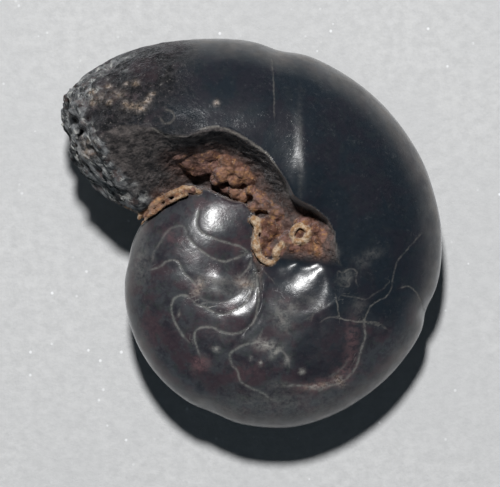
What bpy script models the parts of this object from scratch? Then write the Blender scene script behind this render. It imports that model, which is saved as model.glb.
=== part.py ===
"""Loose fossil ammonite: a small, globose, tightly coiled internal mould.

The shell is a tube on a logarithmic spiral whose oval section grows with every
degree of coiling and reaches over the coiling axis, so the umbilicus is closed.
The last half whorl ends in a rough, leaning break. Its near flank is broken away
beside the axis: the earlier whorl shows there as a ball, and lumpy brown matrix
fills the trough between the two. The far flank carries one small worn flat, on
which the fossil rests.

Metres, +Z up. Origin: middle of the footprint, on the resting surface.
"""

import math

import bmesh
import bpy
from mathutils import Matrix, Vector

MM = 0.001

# ---- coiling -------------------------------------------------------------
# Angles are counted along the coil in degrees. 0 and 360 point to +X; growth
# runs counter-clockwise as seen from above.
R_REF = 6.87 * MM  # distance from the axis to the outer rim at ANGLE_REF
ANGLE_REF = 160.0
GROWTH = 0.1249  # rim radius grows by exp(GROWTH) for each radian
INNER_START = 40.0  # the ball: the earlier coil, which stays whole
INNER_END = 330.0
OUTER_START = 285.0  # the thick last coil, whose flank and end are broken
OUTER_END = 513.0  # a little past the break
STEP = 4.0  # one ring of the tube each STEP degrees

# ---- whorl section, as fractions of the rim radius --------------------------
CENTRE = 0.41  # highest line of the flank
REACH_OUT = 0.585  # from that line to the rim
REACH_IN = 0.55  # from that line inwards, past the axis
HALF_WIDTH = 0.385  # half of the whorl's thickness
ROUND_OUT = 2.1  # section exponents; 2 is an ellipse
ROUND_IN = 2.5

# ---- necks (+) and swellings (-): angle, depth as a fraction, half width in degrees
CONSTRICTIONS = (
    (176.0, 0.012, 6.0),
    (256.0, 0.014, 6.0),
    (284.0, -0.012, 14.0),
    (348.0, 0.016, 6.0),
    (440.0, 0.016, 5.0),
    (486.0, -0.032, 20.0),
)

# ---- the broken parts, in the plane of coiling, measured from the axis ---------
# trough beside the axis where the flank is missing: outline, then the plane of
# its floor by a point and its downhill slope towards the ball
TROUGH = (
    (-5.8, 8.0),
    (-3.8, 7.6),
    (-2.0, 8.0),
    (-0.4, 7.5),
    (0.9, 6.5),
    (1.7, 5.1),
    (1.2, 3.0),
    (-1.3, 2.6),
    (-7.4, 2.6),
    (-6.2, 5.2),
)
TROUGH_TOP = 4.6  # height of the floor above the mid-plane at TROUGH_LINE
TROUGH_LINE = 7.6
TROUGH_SLOPE = 49.0
# its shallower run-out towards the break
RUN_OUT = ((-9.6, 9.0), (-7.4, 8.1), (-5.35, 7.85), (-4.55, 5.0), (-5.5, 2.35), (-8.1, 2.45), (-10.5, 6.0))
RUN_OUT_TOP = 4.7
RUN_OUT_SLOPE = 30.0
# the last coil's inner edge is gone down to the mid-plane over the ball
CLEARING = ((1.2, 3.1), (-7.6, 3.1), (-7.6, -4.0), (-1.2, -4.0), (0.1, -0.2))
CLEARING_FLOOR = 0.2
# shallow hollow at the axis, filled with matrix
HOLLOW = ((-0.2, 3.4), (1.2, 5.0), (2.2, 4.0), (4.3, 3.2), (4.7, 2.0), (4.2, 0.9), (2.2, 0.5), (0.7, 0.4), (-0.1, 1.6))
HOLLOW_FLOOR = 2.9
HOLLOW_SLOPE = 6.0
# end of the last whorl: planes through a point, turned to an azimuth and leaning
# back by a few degrees; material beyond each plane is gone
BREAK = (
    ((-7.9, 3.6), 241.0, 20.0),
    ((-9.95, 5.9), 209.0, 20.0),
    ((-10.8, 8.6), 176.0, 12.0),
    ((-9.8, 10.6), 132.0, 14.0),
    ((-7.9, 3.6), 241.0, -18.0),
    ((-9.95, 5.9), 209.0, -24.0),
    ((-10.8, 8.6), 176.0, -18.0),
)
BREAK_BLOCK = (7.0, 17.0)  # depth and width of a cutting block

# ---- matrix lumps: centre x, y, z from the axis and mid-plane, radius ----------
LUMPS = (
    (-4.4, 5.4, 1.6, 1.0),
    (-2.4, 5.7, 2.0, 0.9),
    (-1.2, 5.6, 2.3, 1.1),
    (-0.1, 4.4, 2.3, 1.0),
    (0.6, 3.6, 2.3, 1.2),
    (1.3, 4.0, 2.9, 0.9),
    (0.9, 2.5, 2.4, 1.1),
    (0.9, 1.3, 2.2, 1.0),
    (1.8, 1.8, 2.6, 1.0),
    (2.6, 2.1, 2.9, 1.1),
    (3.6, 1.9, 3.1, 0.9),
    (3.0, 1.2, 2.8, 0.9),
)

# ---- pose on the table ----------------------------------------------------------
LEAN = 5.0  # the coil leans by this much, its broken end raised
LEAN_AZIMUTH = 150.0
AXIS = (0.085 * MM, -2.13 * MM)  # where the axis meets the mid-plane, seen from above
MID_HEIGHT = 4.42 * MM  # height of that point above the table

# ---- faceting -------------------------------------------------------------------
VOXEL = 0.32 * MM
KEEP = 0.27  # share of the triangles that stays after thinning


def rim(angle):
    """Distance from the axis to the rim, with the slight necks of the constrictions."""
    r = R_REF * math.exp(GROWTH * math.radians(angle - ANGLE_REF))
    for at, depth, half in CONSTRICTIONS:
        r *= 1.0 - depth * math.exp(-(((angle - at) / half) ** 2))
    return r


def section_outline(count=40):
    """Closed outline of the whorl section for a rim radius of one metre."""
    points = []
    for i in range(count):
        a = 2.0 * math.pi * i / count
        c, s = math.cos(a), math.sin(a)
        reach, power = (REACH_OUT, ROUND_OUT) if c >= 0 else (REACH_IN, ROUND_IN)
        points.append(
            (
                math.copysign(abs(c) ** (2.0 / power) * reach, c),
                math.copysign(abs(s) ** (2.0 / power) * HALF_WIDTH, s),
            )
        )
    return points


def poly_curve(name, points, dimensions="3D", cyclic=False):
    data = bpy.data.curves.new(name, "CURVE")
    data.dimensions = dimensions
    spline = data.splines.new("POLY")
    spline.points.add(len(points) - 1)
    for p, co in zip(spline.points, points):
        p.co = (co[0], co[1], co[2] if len(co) > 2 else 0.0, 1.0)
    spline.use_cyclic_u = cyclic
    return bpy.data.objects.new(name, data)


def as_mesh_object(source, name, collection):
    """Turn a curve object into a mesh object with welded caps, and remove the curve."""
    bpy.context.view_layer.update()
    graph = bpy.context.evaluated_depsgraph_get()
    mesh = bpy.data.meshes.new_from_object(source.evaluated_get(graph))
    mesh.name = name
    bm = bmesh.new()
    bm.from_mesh(mesh)
    bmesh.ops.remove_doubles(bm, verts=bm.verts, dist=1e-6)
    bmesh.ops.recalc_face_normals(bm, faces=bm.faces)
    bm.to_mesh(mesh)
    bm.free()
    obj = bpy.data.objects.new(name, mesh)
    obj.matrix_world = source.matrix_world.copy()
    collection.objects.link(obj)
    bpy.data.objects.remove(source)
    return obj


def whorl(name, start, end, section, collection):
    """A tube along the spiral: the section rides on the path and grows with it."""
    count = int(round((end - start) / STEP))
    angles = [start + (end - start) * i / count for i in range(count + 1)]
    path = poly_curve(
        name + "_path",
        [
            (
                CENTRE * rim(a) * math.cos(math.radians(a)),
                CENTRE * rim(a) * math.sin(math.radians(a)),
            )
            for a in angles
        ],
    )
    for p, a in zip(path.data.splines[0].points, angles):
        p.radius = rim(a)
    path.data.twist_mode = "Z_UP"
    path.data.bevel_mode = "OBJECT"
    path.data.bevel_object = section
    path.data.use_fill_caps = True
    collection.objects.link(path)
    return as_mesh_object(path, name, collection)


def as_cutter(obj):
    obj.hide_render = True
    obj.display_type = "WIRE"
    return obj


def slab_cutter(name, outline, floor, slope, line, collection):
    """A thick slab over an outline; its lower face is the floor of what it removes.

    The floor has height `floor` along y = line and falls towards -Y by `slope`.
    """
    flat = poly_curve(name, [(x * MM, y * MM) for x, y in outline], "2D", True)
    flat.data.fill_mode = "BOTH"
    flat.data.extrude = 5.0 * MM
    collection.objects.link(flat)
    slab = as_mesh_object(flat, name, collection)
    fall = math.tan(math.radians(slope))
    for v in slab.data.vertices:
        low = (floor + fall * (v.co.y / MM - line)) * MM
        v.co.z = low if v.co.z < 0 else 9.0 * MM
    return as_cutter(slab)


def break_cutter(name, point, azimuth, lean, collection):
    """A block whose one face is a plane of the break."""
    depth, width = BREAK_BLOCK[0] * MM, BREAK_BLOCK[1] * MM
    bpy.ops.mesh.primitive_cube_add(size=1.0)
    block = bpy.context.active_object
    block.data.transform(Matrix.Diagonal((depth, width, 16.0 * MM, 1.0)))
    block.name = name
    for c in list(block.users_collection):
        c.objects.unlink(block)
    collection.objects.link(block)
    turn = Matrix.Rotation(math.radians(azimuth), 4, "Z") @ Matrix.Rotation(math.radians(-lean), 4, "Y")
    block.matrix_world = (
        Matrix.Translation(Vector((point[0] * MM, point[1] * MM, 0.0)))
        @ turn
        @ Matrix.Translation(Vector((depth / 2, 0.0, 0.0)))
    )
    return as_cutter(block)


def subtract(obj, cutter):
    mod = obj.modifiers.new("cut_" + cutter.name, "BOOLEAN")
    mod.operation = "DIFFERENCE"
    mod.object = cutter
    mod.solver = "EXACT"


def applied(obj, name, collection):
    """A mesh object holding what the modifiers of obj make."""
    bpy.context.view_layer.update()
    graph = bpy.context.evaluated_depsgraph_get()
    mesh = bpy.data.meshes.new_from_object(obj.evaluated_get(graph))
    out = bpy.data.objects.new(name, mesh)
    out.matrix_world = obj.matrix_world.copy()
    collection.objects.link(out)
    return out


def stone_material():
    mat = bpy.data.materials.new("dark_ironstone")
    mat.use_nodes = True
    shader = mat.node_tree.nodes["Principled BSDF"]
    shader.inputs["Base Color"].default_value = (0.018, 0.017, 0.022, 1.0)
    shader.inputs["Roughness"].default_value = 0.28
    shader.inputs["Metallic"].default_value = 0.0
    mat.diffuse_color = (0.018, 0.017, 0.022, 1.0)
    return mat


def main():
    for obj in list(bpy.data.objects):
        bpy.data.objects.remove(obj)
    scene = bpy.context.scene
    part = bpy.data.collections.new("fossil_ammonite")
    cutters = bpy.data.collections.new("cutters")
    scene.collection.children.link(part)
    scene.collection.children.link(cutters)

    section = poly_curve("whorl_section", section_outline(), "2D", True)
    cutters.objects.link(section)
    outer = whorl("last_whorl", OUTER_START, OUTER_END, section, part)
    ball = whorl("inner_whorl", INNER_START, INNER_END, section, part)
    bpy.data.objects.remove(section)

    # what is missing from the last whorl: the trough, the hollow and its end
    made = [
        slab_cutter("run_out", RUN_OUT, RUN_OUT_TOP, RUN_OUT_SLOPE, TROUGH_LINE, cutters),
        slab_cutter("trough", TROUGH, TROUGH_TOP, TROUGH_SLOPE, TROUGH_LINE, cutters),
        slab_cutter("clearing", CLEARING, CLEARING_FLOOR, 0.0, 0.0, cutters),
        slab_cutter("hollow", HOLLOW, HOLLOW_FLOOR, HOLLOW_SLOPE, 3.0, cutters),
    ]
    for i, (point, azimuth, lean) in enumerate(BREAK):
        made.append(break_cutter("break_%d" % (i + 1), point, azimuth, lean, cutters))
    bpy.context.view_layer.update()
    # the tube overlaps itself near the axis, so it is fused before it is cut
    fuse = outer.modifiers.new("fuse", "REMESH")
    fuse.mode = "VOXEL"
    fuse.voxel_size = VOXEL
    for cutter in made:
        subtract(outer, cutter)
    shell = applied(outer, "cut_whorl", part)

    # one body: whorl, ball and matrix lumps under one skin
    bm = bmesh.new()
    bm.from_mesh(shell.data)
    bm.from_mesh(ball.data)
    for x, y, z, radius in LUMPS:
        bmesh.ops.create_icosphere(
            bm,
            subdivisions=2,
            radius=radius * MM,
            matrix=Matrix.Translation(Vector((x, y, z)) * MM),
        )
    mesh = bpy.data.meshes.new("ammonite")
    bm.to_mesh(mesh)
    bm.free()
    for obj in (outer, ball, shell):
        bpy.data.objects.remove(obj)
    # the shell is tilted into the pose in which it rests
    lean = Matrix.Rotation(
        math.radians(LEAN), 4, Vector((math.sin(math.radians(LEAN_AZIMUTH)), -math.cos(math.radians(LEAN_AZIMUTH)), 0.0))
    )
    mesh.transform(Matrix.Translation(Vector((AXIS[0], AXIS[1], MID_HEIGHT))) @ lean)
    ammonite = bpy.data.objects.new("ammonite", mesh)
    part.objects.link(ammonite)

    skin = ammonite.modifiers.new("skin", "REMESH")
    skin.mode = "VOXEL"
    skin.voxel_size = VOXEL
    soften = ammonite.modifiers.new("soften", "SMOOTH")
    soften.factor = 0.5
    soften.iterations = 3
    thin = ammonite.modifiers.new("thin", "DECIMATE")
    thin.ratio = KEEP

    # the worn flat: everything below the table plane is gone
    bpy.ops.mesh.primitive_cube_add(size=30.0 * MM, location=(0.0, 0.0, -15.0 * MM))
    table = bpy.context.active_object
    table.name = "rest_flat"
    for c in list(table.users_collection):
        c.objects.unlink(table)
    cutters.objects.link(table)
    subtract(ammonite, as_cutter(table))

    ammonite.data.materials.append(stone_material())
    for cutter in made:
        bpy.data.objects.remove(cutter)


main()
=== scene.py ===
import math

import bpy
import numpy as np
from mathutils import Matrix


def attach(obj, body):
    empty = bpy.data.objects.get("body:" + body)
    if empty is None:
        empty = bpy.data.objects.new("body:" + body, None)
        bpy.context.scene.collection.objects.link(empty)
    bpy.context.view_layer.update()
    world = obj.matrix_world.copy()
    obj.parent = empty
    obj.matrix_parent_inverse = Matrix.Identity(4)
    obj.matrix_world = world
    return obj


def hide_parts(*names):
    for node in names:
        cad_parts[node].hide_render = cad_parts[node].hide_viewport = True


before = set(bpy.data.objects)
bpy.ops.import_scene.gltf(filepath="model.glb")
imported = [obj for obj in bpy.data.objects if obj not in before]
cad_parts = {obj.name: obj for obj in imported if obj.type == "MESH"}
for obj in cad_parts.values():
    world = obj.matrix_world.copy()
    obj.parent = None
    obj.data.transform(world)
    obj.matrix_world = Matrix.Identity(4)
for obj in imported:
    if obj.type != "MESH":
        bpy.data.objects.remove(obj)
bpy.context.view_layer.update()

# Looks of a loose fossil ammonite: a glossy black internal mould with pale suture
# lines, orange-brown matrix in its broken flank and a torn, scaly end, on a pale floor.

# ---------------------------------------------------------------------------
# Shape. Lengths are in millimetres, +Z up, the origin as in the frame.
# The fossil is one closed surface, the zero level of field(), which is negative
# inside. Places on the near (upper) side are given on a plan grid (u, v) of
# UNIT mm, u to the right (+X) and v down (-Y), as seen from above.
# ---------------------------------------------------------------------------
UNIT = 0.0565
PLAN_U, PLAN_V = 250.0, 243.5  # the plan grid's point under the eye
EYE = np.array([-0.0565, -0.593, 400.0])
EYE_LEVEL = 4.4  # the plan grid is true to size at this height

# coiling: the last coil is a tube on a logarithmic spiral, angles in degrees
R_REF, ANGLE_REF, GROWTH = 6.87 * 1.007, 160.0, 0.1249
MID_LINE, REACH_RIM, REACH_IN, HALF_WIDTH = 0.41, 0.995, 0.55, 0.385
ROUND_OUT, ROUND_IN = 2.1, 2.5
INNER = (40.0, 330.0)
OUTER = (285.0, 513.0)
NECKS = ((176, .012, 6), (256, .014, 6), (284, -.012, 14), (348, .018, 6), (443, .018, 5), (486, -.032, 20))
LEAN, LEAN_AZIMUTH = 5.0, 150.0
SHELL_AT = np.array([0.085, -2.13, 4.42])

# the end of the last whorl: point of each plane (mm from the axis), azimuth, lean
BREAK = (
    ((-7.9, 3.6), 241.0, 20.0), ((-9.95, 5.9), 209.0, 20.0), ((-10.8, 8.6), 176.0, 12.0), ((-9.8, 10.6), 132.0, 14.0),
    ((-7.9, 3.6), 241.0, -18.0), ((-9.95, 5.9), 209.0, -24.0), ((-10.8, 8.6), 176.0, -18.0),
)


def lean_matrix():
    a, z = math.radians(LEAN), math.radians(LEAN_AZIMUTH)
    x, y = math.sin(z), -math.cos(z)
    k = np.array([[0, 0, y], [0, 0, -x], [-y, x, 0]])
    return np.eye(3) + math.sin(a) * k + (1 - math.cos(a)) * (k @ k)


LEAN_M = lean_matrix()


def ease(lo, hi, x):
    t = np.clip((x - lo) / (hi - lo), 0.0, 1.0)
    return t * t * (3.0 - 2.0 * t)


def smin(a, b, k):
    h = np.clip(0.5 + 0.5 * (b - a) / k, 0.0, 1.0)
    return b + (a - b) * h - k * h * (1.0 - h)


def smax(a, b, k):
    return -smin(-a, -b, k)


# ---- noise -------------------------------------------------------------------
LATTICE = 32
RANDOM = np.random.default_rng(7).random((6, LATTICE, LATTICE, LATTICE)).astype(np.float32)


def value_noise(p, size, which=0):
    """Smooth noise in -1..1 with features of about `size` (a number or one for each axis)."""
    x = p / np.asarray(size, np.float64) + 11.3 * (which + 1)
    i = np.floor(x)
    f = (x - i).astype(np.float32)
    f = f * f * f * (f * (f * 6 - 15) + 10)
    i = i.astype(np.int64) & (LATTICE - 1)
    j = (i + 1) & (LATTICE - 1)
    g = RANDOM[which % 6]
    ax, ay, az, bx, by, bz = i[:, 0], i[:, 1], i[:, 2], j[:, 0], j[:, 1], j[:, 2]
    fx, fy, fz = f[:, 0], f[:, 1], f[:, 2]
    c00 = g[ax, ay, az] * (1 - fx) + g[bx, ay, az] * fx
    c10 = g[ax, by, az] * (1 - fx) + g[bx, by, az] * fx
    c01 = g[ax, ay, bz] * (1 - fx) + g[bx, ay, bz] * fx
    c11 = g[ax, by, bz] * (1 - fx) + g[bx, by, bz] * fx
    return 2.0 * ((c00 * (1 - fy) + c10 * fy) * (1 - fz) + (c01 * (1 - fy) + c11 * fy) * fz) - 1.0


def fractal(p, size, octaves=3, which=0):
    total, amp, norm = 0.0, 1.0, 0.0
    for o in range(octaves):
        total = total + amp * value_noise(p, np.asarray(size, np.float64) / 2.1 ** o, (which + o) % 6)
        norm += amp
        amp *= 0.5
    return total / norm


def cells(p, size):
    """Distances to the nearest and second nearest of jittered points, in units of size."""
    x = p / size
    i = np.floor(x).astype(np.int64)
    one = np.full(len(p), 9.0)
    two = np.full(len(p), 9.0)
    for dx in (-1, 0, 1):
        for dy in (-1, 0, 1):
            for dz in (-1, 0, 1):
                c = i + np.array([dx, dy, dz])
                m = c & (LATTICE - 1)
                j = RANDOM[:3, m[:, 0], m[:, 1], m[:, 2]].T
                d = np.sqrt((((c + 0.1 + 0.8 * j) - x) ** 2).sum(1))
                two = np.minimum(two, np.maximum(one, d))
                one = np.minimum(one, d)
    return one, two


# ---- plan tools ----------------------------------------------------------------
def to_plan(p):
    k = (EYE[2] - EYE_LEVEL) / (EYE[2] - p[:, 2]) / UNIT
    return PLAN_U + (p[:, 0] - EYE[0]) * k, PLAN_V - (p[:, 1] - EYE[1]) * k


def smooth_line(points, steps=5, closed=False):
    """Catmull-Rom curve through the points."""
    pts = np.array(points, float)
    if closed:
        pts = np.vstack((pts[-1:], pts, pts[:2]))
    else:
        pts = np.vstack((2 * pts[0] - pts[1], pts, 2 * pts[-1] - pts[-2]))
    out = []
    for a, b, c, d in zip(pts[:-3], pts[1:-2], pts[2:-1], pts[3:]):
        for s in np.arange(steps) / steps:
            out.append(0.5 * (2 * b + (c - a) * s + (2 * a - 5 * b + 4 * c - d) * s * s + (3 * b - a - 3 * c + d) * s ** 3))
    if not closed:
        out.append(pts[-2])
    return np.array(out)


def line_distance(u, v, line):
    """Distance to an open polyline, its side (+1 left of travel as drawn, -1 right) and how far along it is (0..1)."""
    best = np.full(u.shape, 1e9)
    side = np.ones(u.shape)
    along = np.zeros(u.shape)
    seg = np.hypot(*(line[1:] - line[:-1]).T)
    run = np.concatenate(([0.0], np.cumsum(seg)))
    for n in range(len(line) - 1):
        a, b = line[n], line[n + 1]
        du, dv = b[0] - a[0], b[1] - a[1]
        t = np.clip(((u - a[0]) * du + (v - a[1]) * dv) / max(du * du + dv * dv, 1e-12), 0, 1)
        eu, ev = u - (a[0] + t * du), v - (a[1] + t * dv)
        d = eu * eu + ev * ev
        m = d < best
        best = np.where(m, d, best)
        side = np.where(m, np.where(du * ev - dv * eu < 0, 1.0, -1.0), side)
        along = np.where(m, (run[n] + t * seg[n]) / run[-1], along)
    return np.sqrt(best), side, along


def polygon_distance(u, v, poly):
    """Signed distance to a closed outline, negative inside."""
    ring = np.vstack((poly, poly[:1]))
    d, _, _ = line_distance(u, v, ring)
    inside = np.zeros(u.shape, bool)
    for (x0, y0), (x1, y1) in zip(ring[:-1], ring[1:]):
        if y0 != y1:
            inside ^= ((y0 > v) != (y1 > v)) & (u < (x1 - x0) * (v - y0) / (y1 - y0) + x0)
    return np.where(inside, -d, d)


def blob(u, v, cu, cv, ru, rv=None, turn=0.0):
    """Soft spot: 1 at its centre, e^-1 at the radii."""
    rv = ru if rv is None else rv
    c, s = math.cos(math.radians(turn)), math.sin(math.radians(turn))
    a = ((u - cu) * c - (v - cv) * s) / ru
    b = ((u - cu) * s + (v - cv) * c) / rv
    return np.exp(-(a * a + b * b))


class Plan:
    """A smooth field on the plan grid, sampled between its nodes."""

    U0, V0, STEP, NU, NV = 40.0, 20.0, 0.5, 841, 861

    def __init__(self, values):
        self.values = values.astype(np.float32)

    @classmethod
    def grid(cls):
        u = cls.U0 + cls.STEP * np.arange(cls.NU)
        v = cls.V0 + cls.STEP * np.arange(cls.NV)
        return np.meshgrid(u, v, indexing="ij")

    def __call__(self, u, v):
        x = np.clip((u - self.U0) / self.STEP, 0, self.NU - 1.001)
        y = np.clip((v - self.V0) / self.STEP, 0, self.NV - 1.001)
        i, j = x.astype(np.int64), y.astype(np.int64)
        fx, fy = x - i, y - j
        g = self.values
        return (g[i, j] * (1 - fx) + g[i + 1, j] * fx) * (1 - fy) + (g[i, j + 1] * (1 - fx) + g[i + 1, j + 1] * fx) * fy


def thin_plate(points, u, v):
    """Smooth sheet through scattered heights."""
    pts = np.array(points, float)
    c = pts[:, :2] / 100.0
    n = len(c)

    def kernel(d2):
        return 0.5 * d2 * np.log(np.maximum(d2, 1e-12))

    k = kernel(((c[:, None] - c[None]) ** 2).sum(2)) + np.eye(n) * 1e-4
    a = np.zeros((n + 3, n + 3))
    a[:n, :n] = k
    a[:n, n], a[:n, n + 1:] = 1, c
    a[n, :n], a[n + 1:, :n] = 1, c.T
    w = np.linalg.solve(a, np.concatenate((pts[:, 2], np.zeros(3))))
    x, y = u / 100.0, v / 100.0
    out = w[n] + w[n + 1] * x + w[n + 2] * y
    for i in range(n):
        out = out + w[i] * kernel((x - c[i, 0]) ** 2 + (y - c[i, 1]) ** 2)
    return out


# ---- drawn features, on the plan grid ---------------------------------------------
# outline of the missing near flank: the shell edge over the trough, round the
# hollow, down past the axis, and back round the ball, which is left alone
MISSING = (
    (88, 150), (100, 134), (118, 126), (136, 124), (155, 128), (165, 134), (185, 136), (200, 130), (217, 127), (232, 129),
    (245, 137), (258, 147), (268, 155), (275, 165), (284, 182), (290, 198), (300, 206), (313, 211), (326, 220), (334, 234),
    (336, 250), (339, 265), (338, 285), (331, 300), (318, 310), (298, 315), (278, 316), (264, 322), (250, 330), (238, 338), (225, 350),
    (190, 370), (120, 350), (110, 250), (95, 200), (80, 175),
)
# heights of the broken floor above the mid-plane, in plan units
FLOOR = (
    (92, 150, 78), (100, 140, 82), (105, 165, 66), (112, 190, 50), (112, 132, 85), (118, 160, 66), (122, 185, 50), (132, 202, 38),
    (135, 128, 85), (137, 150, 71), (138, 172, 56), (145, 192, 40), (150, 204, 28), (155, 132, 82), (158, 150, 64), (160, 170, 43),
    (166, 187, 25), (172, 137, 78), (174, 150, 60), (177, 162, 40), (182, 174, 24), (188, 183, 14), (200, 136, 76), (200, 147, 58),
    (199, 160, 38), (199, 174, 20), (206, 188, 12), (217, 133, 76), (217, 146, 56), (217, 160, 38), (217, 175, 26), (217, 190, 14),
    (235, 138, 74), (235, 150, 55), (235, 165, 40), (235, 180, 32), (235, 195, 18), (232, 204, 12), (250, 151, 70), (250, 165, 48),
    (250, 180, 38), (250, 195, 28), (248, 206, 20), (262, 161, 66), (265, 176, 50), (262, 190, 42), (258, 205, 30), (254, 218, 26),
    (276, 177, 62), (278, 195, 48), (272, 210, 42), (265, 225, 40), (258, 240, 34), (255, 256, 34), (286, 200, 54), (290, 215, 48),
    (285, 230, 48), (275, 245, 44), (266, 258, 42), (305, 215, 52), (305, 230, 55), (300, 245, 56), (285, 255, 54), (275, 264, 50),
    (322, 224, 60), (326, 236, 63), (318, 248, 62), (305, 257, 60),
)
# the same for the smooth shoulder beside the axis
SHOULDER = (
    (262, 275, 47), (258, 268, 42), (268, 268, 47), (262, 300, 59), (270, 285, 55.5), (268, 300, 60.5), (283, 268, 53), (285, 283, 59.2), (285, 298, 63.3),
    (297, 262, 54), (297, 272, 58), (297, 282, 61.2), (297, 291, 63.6), (297, 300, 65.6), (297, 309, 66.8), (308, 266, 58), (308, 275, 60.8),
    (308, 283, 62.8), (308, 292, 64.4), (310, 302, 65.6), (317, 262, 58.2), (317, 270, 60.7), (317, 277, 62.3), (317, 284, 63.4), (317, 295, 64.8),
    (322, 269, 60.9), (326, 278, 62.2), (326, 290, 64.4), (280, 320, 70), (300, 325, 73), (264, 322, 66),
    (345, 248, 78), (348, 262, 77), (349, 278, 76.5), (346, 295, 76), (334, 307, 74), (322, 318, 75),
)

SUTURES = (
    # points, strength
    (((199, 208), (197.5, 217), (197.5, 226), (203, 233), (210, 236.5), (216, 238.8), (223.6, 241.8), (231, 244), (239.5, 246), (246, 250), (248.5, 254)), 1.0),
    (((152, 262), (154, 252), (158, 246), (166, 233), (174, 227), (182, 226), (186, 230), (187, 235)), 0.45),
    (((187, 235), (193, 243), (202, 251), (209, 256), (215.6, 259.3), (224.4, 261.7), (231.6, 259.6), (241, 256), (248.5, 254)), 1.0),
    (((150, 270), (160, 266.5), (166, 261.7), (174, 259.8), (179, 262.5), (182, 269), (187, 276), (193.3, 281.6), (197, 287)), 0.8),
    (((238, 278), (242.7, 274.5), (249, 266.5), (252.3, 258.5)), 0.9),
    (((197, 287), (197, 293), (203, 299), (211, 302), (222, 302), (232, 299), (241, 293), (247, 285), (251, 272)), 0.35),
    (((190, 343), (183.8, 336.6), (177.4, 327), (172.6, 316), (171.3, 306.4), (174.2, 298.4), (180.6, 295.2), (187, 296), (191.7, 300), (196.5, 304),
      (204.5, 307), (214, 312), (223.6, 314.3), (232, 311), (240, 307), (246, 301.6), (250.5, 294), (253, 283), (254, 270)), 1.0),
    (((200, 356), (196.5, 346), (194, 338), (196.5, 330), (203, 327), (212.4, 327.4), (222, 331.9), (231.6, 334.2), (239.5, 332.6), (247.5, 327.9),
      (253.9, 320.7), (257.2, 311), (258.5, 295), (257, 280), (254, 266)), 1.0),
    (((275, 400), (271.4, 398.8), (263.4, 393.2), (255.5, 390), (246, 385.2), (239.5, 379.7), (238, 371.7), (231.6, 363.7), (230, 354.2), (238, 347.8),
      (246, 344.3), (253.9, 343), (259, 339), (262, 330)), 0.85),
    (((276, 347), (284, 353), (289, 361), (289.5, 367)), 0.6),
    (((363, 320), (364.5, 328), (365, 337), (362.4, 345.7), (359.5, 355), (356.9, 364.6), (352, 373), (345.9, 378.7), (338, 383.4), (330, 385.5),
      (323, 388.5), (318, 390.2), (309.7, 386.6), (297, 385.3), (285, 386)), 1.0),
    (((349, 358), (344, 366), (337, 372.5), (328, 378)), 0.4),
)
CRACKS = (
    (((422, 233), (413, 243), (405, 252), (398, 260.5), (394.6, 270), (392.5, 281), (391, 290)), 0.5),
    (((391, 290), (386, 297), (378.9, 300), (371, 305.6), (366.3, 314.3), (363.5, 322)), 0.85),
    (((335.6, 295.4), (338, 308), (339.6, 317.4), (350.6, 320.6), (363, 322), (374, 322), (383.6, 325.3)), 0.8),
    (((339, 318), (328.6, 317.4), (320.7, 322)), 0.5),
    (((306.6, 319), (317.6, 311), (322.3, 303.3)), 0.4),
    (((341, 295.4), (353.7, 297), (366.3, 300)), 0.4),
    (((254, 263), (262, 269), (270, 277.7), (275, 284)), 0.35),
    (((271.5, 57), (273, 74), (274, 95), (274.2, 117)), 0.45),
    (((400.9, 287.6), (408, 286.5), (414, 290), (420, 299), (424, 312)), 0.8),
    (((363, 322), (372, 324), (383, 327), (388, 330)), 0.5),
    (((337, 276), (338, 271), (343, 273), (347, 269.5), (353, 269), (357, 273), (355.5, 279), (357, 285)), 0.45), (((339, 284), (344, 287), (350, 285), (348, 280), (351, 277)), 0.35),
    (((311, 322), (313, 314), (318, 308), (326, 306)), 0.3), (((366, 300), (374, 294), (383, 289), (388, 283)), 0.3),
)
SHELL_EDGE_AND_GLINT_RING = (
    (((150, 127.5), (157, 130.5), (165, 135), (175, 137), (184, 136)), 0.9),
    (((198, 130), (208, 127.5), (219.5, 127), (234.5, 133), (246.5, 139), (258, 147), (268, 155), (275, 165), (284, 182), (290, 199)), 1.2),
    (((300, 206.5), (313, 211.5), (325, 221), (331, 230)), 1.0),
    # painted glint: this small ring round (167,116) is a glint drawn as a pale line, not part of the shell's edge
    (((165, 109.5), (172, 112), (174.5, 117), (171, 122.5), (164, 123), (160, 118)), 0.5),
)
CREASE = ((254, 262), (258, 272), (260.5, 285), (262.3, 300), (262.3, 315), (260, 328))
GROOVE = ((295, 92), (297, 112), (298.5, 132), (299.5, 150), (298.5, 170), (299.5, 188), (302, 210))


def smooth_lines(table):
    return [(smooth_line(points), strength) for points, strength in table]


SUTURE_LINES = smooth_lines(SUTURES)
CRACK_LINES = smooth_lines(CRACKS)
EDGE_AND_GLINT_LINES = smooth_lines(SHELL_EDGE_AND_GLINT_RING)


def nearest_line(u, v, lines, reach):
    """Signed distance to the nearest line, and its strength."""
    best = np.full(u.shape, float(reach))
    signed = np.full(u.shape, float(reach))
    weight = np.zeros(u.shape)
    for line, strength in lines:
        lo, hi = line.min(0) - reach, line.max(0) + reach
        m = (u > lo[0]) & (u < hi[0]) & (v > lo[1]) & (v < hi[1])
        if not m.any():
            continue
        d, side, along = line_distance(u[m], v[m], line)
        taper = ease(-0.001, 0.06, along) * ease(-0.001, 0.06, 1 - along) * 0.75 + 0.25
        near = d < best[m]
        idx = np.nonzero(m.ravel())[0][near]
        best.ravel()[idx] = d[near]
        signed.ravel()[idx] = (d * side)[near]
        weight.ravel()[idx] = (strength * taper)[near]
    return signed, weight


BALL_FACE = (
    (199, 188), (209, 190), (220, 195), (230, 200), (245, 204), (254, 214), (258, 228), (257, 243), (253, 257), (257, 268), (260, 283),
    (261.5, 300), (256, 315), (242, 335), (225, 352), (190, 372), (120, 352), (108, 250), (128, 222), (142, 212), (155, 203), (175, 194), (189, 186),
)
PITS = ((75.5, 121, 3.6, .42), (89, 119.5, 3.4, .42), (83, 131.5, 4.2, .4), (100, 118, 3, .12), (118, 100, 4, .1), (130, 118, 4, .1), (108, 108, 3, .1))
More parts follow.
